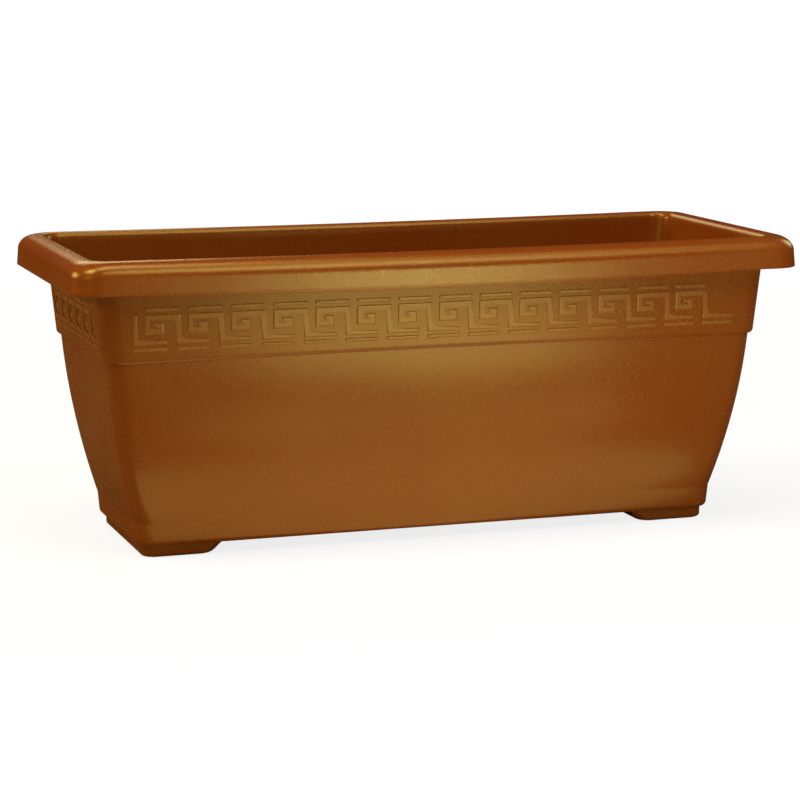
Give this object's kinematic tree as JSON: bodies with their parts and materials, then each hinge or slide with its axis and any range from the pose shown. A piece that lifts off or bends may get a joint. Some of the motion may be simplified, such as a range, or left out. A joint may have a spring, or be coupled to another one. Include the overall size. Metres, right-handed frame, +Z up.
{
  "type": "window box planter",
  "caption": "Long moulded plastic trough for plants with a hollow rolled rim, Greek key frieze, curved sides and two feet, with a lift-out reservoir grid and drain bungs.",
  "frame": {"origin": "middle of the footprint, on the ground the feet stand on", "axes": "+X along the length, -Y out of the front long side, +Z up"},
  "size_m": [0.6, 0.246, 0.238],
  "materials": {
    "trough": "bronze brown polypropylene, fine satin grain with a soft sheen",
    "grid": "black moulded plastic, plain satin",
    "bung": "dark brown soft plastic, plain satin"
  },
  "bodies": {
    "trough": {"trough": "trough"},
    "reservoir_grid": {"reservoir_grid": "grid"},
    "drain_bung_1": {"drain_bung_1": "bung"},
    "drain_bung_2": {"drain_bung_2": "bung"},
    "drain_bung_3": {"drain_bung_3": "bung"},
    "drain_bung_4": {"drain_bung_4": "bung"},
    "drain_bung_5": {"drain_bung_5": "bung"},
    "drain_bung_6": {"drain_bung_6": "bung"}
  },
  "joints": [
    {"name": "grid_lift", "type": "slide", "parent": "trough", "child": "reservoir_grid", "axis": [0, 0, 1], "range_m": [0, 0.25]},
    {"name": "bung_1_pull", "type": "slide", "parent": "trough", "child": "drain_bung_1", "axis": [0, 0, 1], "range_m": [0, 0.012]},
    {"name": "bung_2_pull", "type": "slide", "parent": "trough", "child": "drain_bung_2", "axis": [0, 0, 1], "range_m": [0, 0.012]},
    {"name": "bung_3_pull", "type": "slide", "parent": "trough", "child": "drain_bung_3", "axis": [0, 0, 1], "range_m": [0, 0.012]},
    {"name": "bung_4_pull", "type": "slide", "parent": "trough", "child": "drain_bung_4", "axis": [0, 0, 1], "range_m": [0, 0.012]},
    {"name": "bung_5_pull", "type": "slide", "parent": "trough", "child": "drain_bung_5", "axis": [0, 0, 1], "range_m": [0, 0.012]},
    {"name": "bung_6_pull", "type": "slide", "parent": "trough", "child": "drain_bung_6", "axis": [0, 0, 1], "range_m": [0, 0.012]}
  ]
}
